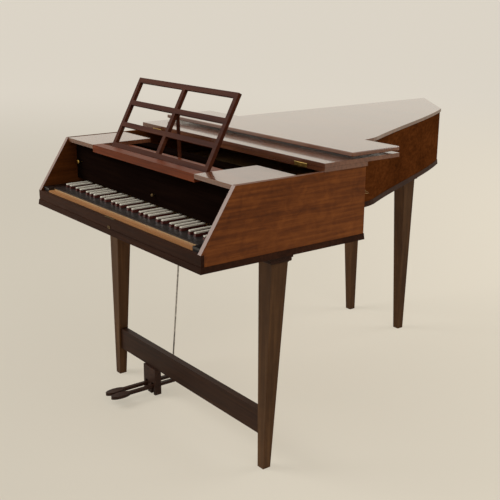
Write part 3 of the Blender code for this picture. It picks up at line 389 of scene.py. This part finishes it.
def floor_paper():
    """Matt backdrop paper which still takes the object's shadow; its seen colour is painted light, darker to
    the left and lighter to the right and with depth.
    """
    made, tree, shader = new_material("pale_floor")
    shader.inputs["Base Color"].default_value = linear(FLOOR_PAPER)
    shader.inputs["Roughness"].default_value = FLOOR_ROUGHNESS
    place = node(tree, "ShaderNodeTexCoord").outputs["Object"]
    # Painted light: the glowing tone runs from painted shade on the left to painted light on the right and far
    # away
    tone = linear(FLOOR_LEFT_PAINTED_SHADE)
    for direction, start, end, code in (
            (PICTURE_RIGHT, LEFT_END, RIGHT_END, FLOOR_RIGHT_PAINTED_LIGHT), (PICTURE_DEPTH, NEAR_END, FAR_END, FLOOR_FAR_PAINTED_LIGHT)):
        way = node(tree, "ShaderNodeVectorMath", {0: place, 1: direction}, operation="DOT_PRODUCT")
        share = node(tree, "ShaderNodeMapRange", {
            "Value": way.outputs["Value"], "From Min": start, "From Max": end},
            interpolation_type="SMOOTHSTEP").outputs["Result"]
        tone = node(tree, "ShaderNodeMix", {
            "Factor": share, 6: tone, 7: linear(code)}, data_type="RGBA").outputs[2]
    glow = node(tree, "ShaderNodeEmission", {"Color": tone, "Strength": 1.0})
    ray = node(tree, "ShaderNodeLightPath")
    share = node(tree, "ShaderNodeMath", {
        0: ray.outputs["Is Camera Ray"], 1: FLOOR_GLOW}, operation="MULTIPLY").outputs[0]
    mix = node(tree, "ShaderNodeMixShader", {0: share, 1: shader.outputs[0], 2: glow.outputs[0]})
    tree.links.new(mix.outputs[0], tree.nodes["Material Output"].inputs["Surface"])
    return made


def make_floor():
    """One large square, whose far edge lies above the picture."""
    corners = np.zeros((4, 3))
    corners[:, :2] = SQUARE * FLOOR_HALF
    floor = solid("floor", corners, np.array([(0, 1, 2, 3)]))
    floor.data.materials.append(floor_paper())


def make_lamps():
    """Three large soft lamps: left front, right and rear."""
    for name, place, size, power in LAMPS:
        data = bpy.data.lights.new(name, "AREA")
        data.size = size
        data.energy = power
        lamp = bpy.data.objects.new(name, data)
        lamp.location = place
        aim = LAMP_AIM - lamp.location
        lamp.rotation_euler = aim.to_track_quat("-Z", "Y").to_euler()
        bpy.context.scene.collection.objects.link(lamp)


# Dressing the solids

def dress(names, material):
    """Gives each named solid the one material."""
    for name in names:
        made = bpy.data.objects[name]
        made.data.materials.clear()
        made.data.materials.append(material)


def dress_case():
    """The polished case: what faces the room is mahogany, what lies inside is softwood."""
    # French-polished mahogany with a wavy figure: the warmest and liveliest surface of the case, with a pale
    # painted highlight on its sloped front edge
    dress(["cheek"], timber(
        "mahogany_cheek", CHEEK_BROWN, ALONG_CASE, 0.36, figure=0.25, shine=0.12, edge_highlight=PAINTED_EDGE_HIGHLIGHT))
    # The same wood with duller old polish: plainer and darker than the cheek, with the same pale painted
    # highlight on faces turned forwards and up
    dress(["bentside", "tail", "spine"], timber(
        "mahogany_bentside", SIDE_UMBER, ALONG_CASE, 0.5, figure=0.1, shine=0.0, edge_highlight=PAINTED_EDGE_HIGHLIGHT))
    # Stained mahogany rail and moulding: a dark line round the case's foot
    dress(["front_rail", "base_moulding"], timber("mahogany_rail", RAIL_BROWN, ACROSS_CASE, 0.45, shine=0.05))
    # Ebonised board without polish: almost black behind the keys
    dress(["nameboard", "jack_rail"], timber("dark_nameboard", NAMEBOARD_BLACK, ACROSS_CASE, 0.55, shine=0.0))
    # Freshly polished flat tops: they mirror the pale room
    dress(["deck_block_left", "deck_block_right"], timber(
        "mahogany_deck", LID_TAN, ACROSS_CASE, 0.25, coat=0.9, shine=0.5))
    # Worn polish on the tray: red-brown, with only a soft sheen
    dress(["desk_tray"], timber("mahogany_tray", TRAY_RUSSET, ACROSS_CASE, 0.4, shine=0.12))
    # Mahogany lids under thick polish: nearly a mirror at this low view
    dress(["main_lid", "front_flap", "slope_flap"], timber(
        "mahogany_lid", LID_TAN, ACROSS_CASE, 0.22, coat=1.0, shine=0.5))
    # Mahogany desk with a reddish stain: soft and dark against the wall
    dress(["music_desk", "desk_strut"], timber("mahogany_desk", DESK_PLUM, ACROSS_CASE, 0.45, shine=0.04))
    # Planed softwood: pale, dry and straight-grained
    dress(["bottom_board", "wrest_plank", "jack_slide", "belly_rail", "soundboard"], timber(
        "planed_pine", PINE_YELLOW, ALONG_CASE, 0.6))
    # Scraped beech: a brown bar on the pale soundboard
    dress(["bridge"], timber("beech_bridge", BEECH_BROWN, ALONG_CASE, 0.5))


def dress_stand():
    """The legs with their plates, the stretcher and the pedals."""
    legs = [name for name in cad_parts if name.startswith("leg_")]
    # Mahogany legs cut along the grain: upright streaks, tawny in the light
    dress(legs, timber("mahogany_leg", LEG_TAWNY, UPRIGHT, 0.4, figure=0.1, shine=0.1))
    # Stained plates and collars: a dark break between leg and case
    plate_wood = timber("stained_plate", RAIL_BROWN, ACROSS_CASE, 0.5, shine=0.1)
    for leg in legs:
        leg_plate(leg).data.materials.append(plate_wood)
    # Darker mahogany with old polish: it sinks into the shade under the case
    dress(["stretcher"], timber("mahogany_stretcher", STRETCHER_BROWN, ACROSS_CASE, 0.45, shine=0.1))
    # Stained hardwood rubbed by feet: dull and dark
    dress(["pedal_block", "pedal_left", "pedal_right"], timber("stained_pedals", RAIL_BROWN, ALONG_CASE, 0.5))


def dress_keyboard():
    """The slip, the blocks and the keys."""
    # Oiled fruitwood slip: the one orange line before the keys
    dress(["key_slip"], timber("key_slip_wood", SLIP_ORANGE, ACROSS_CASE, 0.4, coat=0.2))
    # Ebonised blocks with a light polish: black with a small highlight
    dress(["key_block_left", "key_block_right"], timber(
        "ebonised_block", BLOCK_BLACK, ALONG_CASE, 0.3, coat=0.3))
    not_keys = ("key_slip", "key_block_left", "key_block_right")
    keys = [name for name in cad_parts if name.startswith("key_") and name not in not_keys]
    dress(keys, key_covers(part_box("key_c1")[1][2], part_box("nameboard")[1][1]))


def dress_metalwork():
    """Brass fittings, iron rods and the strings."""
    # Rubbed brass: yellow, bright on its edges
    dress(["hand_stop", "flap_hinge_left", "flap_hinge_right", "lid_hinge"], metal(
        "rubbed_brass", "c9a558", 0.32, 16.67 * MM))
    # Brass left to age: brown, so that it hardly shows on the dark rail
    dress(["lock_plate", "escutcheon", "nameboard_knob"], metal("aged_brass", "6f5a3c", 0.5, 16.67 * MM))
    # Drawn iron: a light grey line
    dress(["rod_left", "rod_right"], metal("drawn_iron_rod", "c6c2ba", 0.45, 11.11 * MM))
    # Drawn brass wire: fine yellow lines over the soundboard
    strings().data.materials.append(metal("string_wire", "c9b27c", 0.3, 12.5 * MM))


def main():
    make_camera()
    make_world()
    make_floor()
    make_lamps()
    bpy.context.scene.view_settings.view_transform = "Standard"
    dress_case()
    dress_stand()
    dress_keyboard()
    dress_metalwork()


main()
